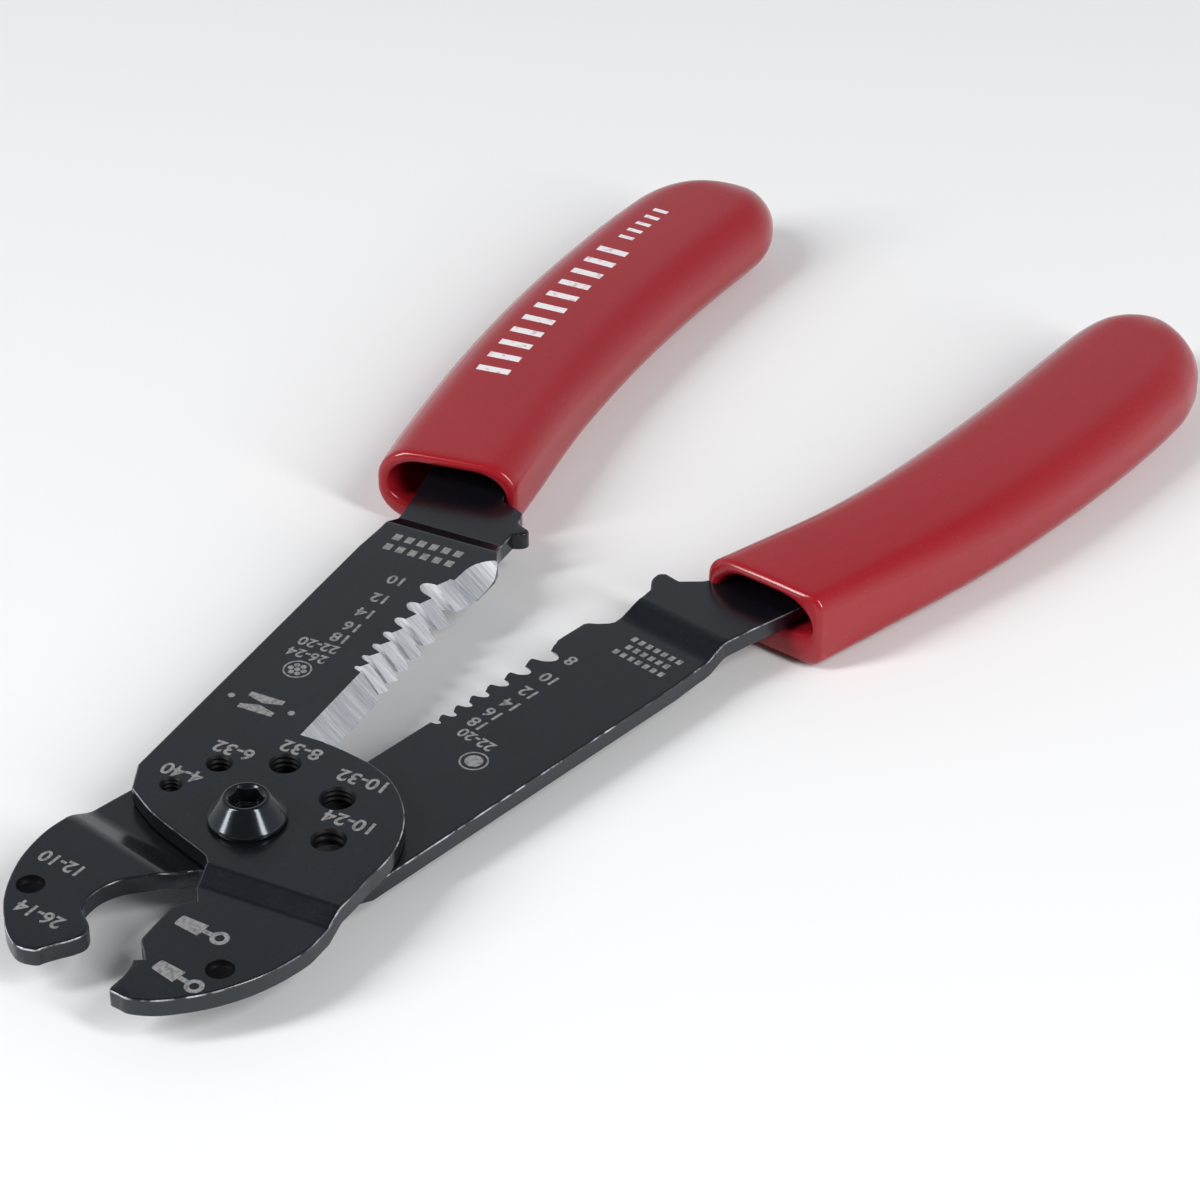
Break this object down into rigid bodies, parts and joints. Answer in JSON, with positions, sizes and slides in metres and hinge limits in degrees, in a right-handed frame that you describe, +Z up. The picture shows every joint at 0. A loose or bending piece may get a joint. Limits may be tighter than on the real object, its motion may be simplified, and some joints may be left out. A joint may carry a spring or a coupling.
{
  "type": "wire stripper",
  "caption": "Flat steel hand tool with two crossed levers on one pivot, crimping jaws, notched stripping edges, threaded screw-cutting holes and soft red grips.",
  "frame": {"origin": "on the pivot axis, at the flush underside of the pivot screw and nut, level with the underside of both grips", "axes": "+X from the pivot towards the handles, halfway between the two levers in the rest pose; +Z up along the pivot axis, towards the screw head; +Y towards the upper lever's handle"},
  "size_m": [0.2133, 0.1038, 0.0123],
  "materials": {
    "black_steel": "black oxide, satin",
    "red_vinyl": "semi-gloss",
    "screw_steel": "black oxide, polished"
  },
  "bodies": {
    "lower": {"lower_lever": "black_steel", "lower_grip": "red_vinyl", "pivot_screw": "screw_steel", "pivot_nut": "screw_steel"},
    "upper": {"upper_lever": "black_steel", "upper_grip": "red_vinyl"}
  },
  "joints": [
    {"name": "pivot", "type": "hinge", "parent": "lower", "child": "upper", "pos_m": [0, 0, 0.006], "axis": [0, 0, 1], "range_deg": [-15.3, 16.5]}
  ]
}
